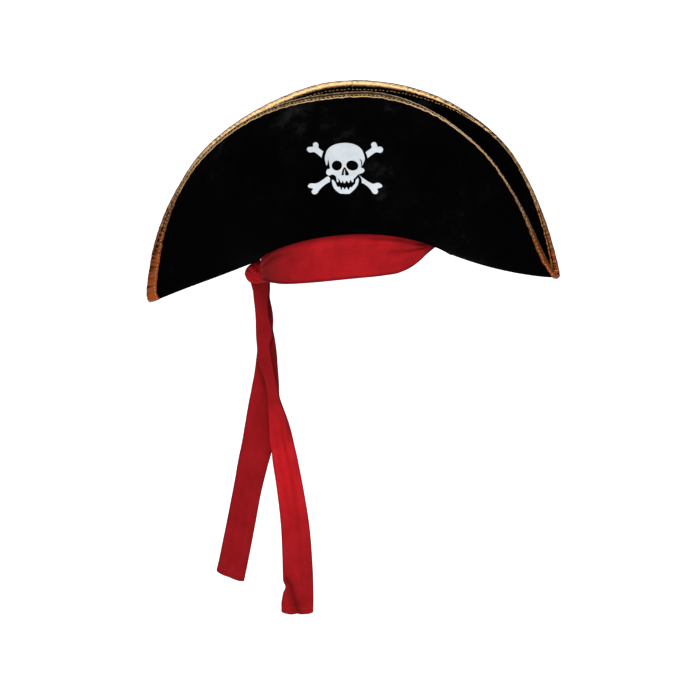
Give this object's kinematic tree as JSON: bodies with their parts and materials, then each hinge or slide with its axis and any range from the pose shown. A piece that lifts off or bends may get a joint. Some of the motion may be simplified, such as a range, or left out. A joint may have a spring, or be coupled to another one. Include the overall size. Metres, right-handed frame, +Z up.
{
  "type": "bicorne costume hat",
  "caption": "Black velour pirate hat with brim folded up front and back, gold edge binding, printed skull and crossbones, and a red knotted sash with hanging tails.",
  "frame": {"origin": "middle of the head opening, level with the hat's sides, where a head carries the hat", "axes": "+Z up, -Y to the front with the print, +X to the right of someone facing the front"},
  "size_m": [0.3746, 0.2065, 0.486],
  "materials": {
    "velour": "short-napped black velour",
    "gold_tape": "shiny gold lame tape, crinkled and stitched",
    "red_cloth": "plain red woven cloth",
    "white_print": "thin off-white printed film"
  },
  "bodies": {
    "root": {"crown": "velour", "brim": "velour", "edge_binding": "gold_tape", "sash": "red_cloth", "sash_knot": "red_cloth", "short_tail": "red_cloth", "long_tail": "red_cloth", "skull_print": "white_print", "jaw_print": "white_print", "upper_left_bone_print": "white_print", "upper_right_bone_print": "white_print", "lower_left_bone_print": "white_print", "lower_right_bone_print": "white_print"}
  },
  "joints": []
}
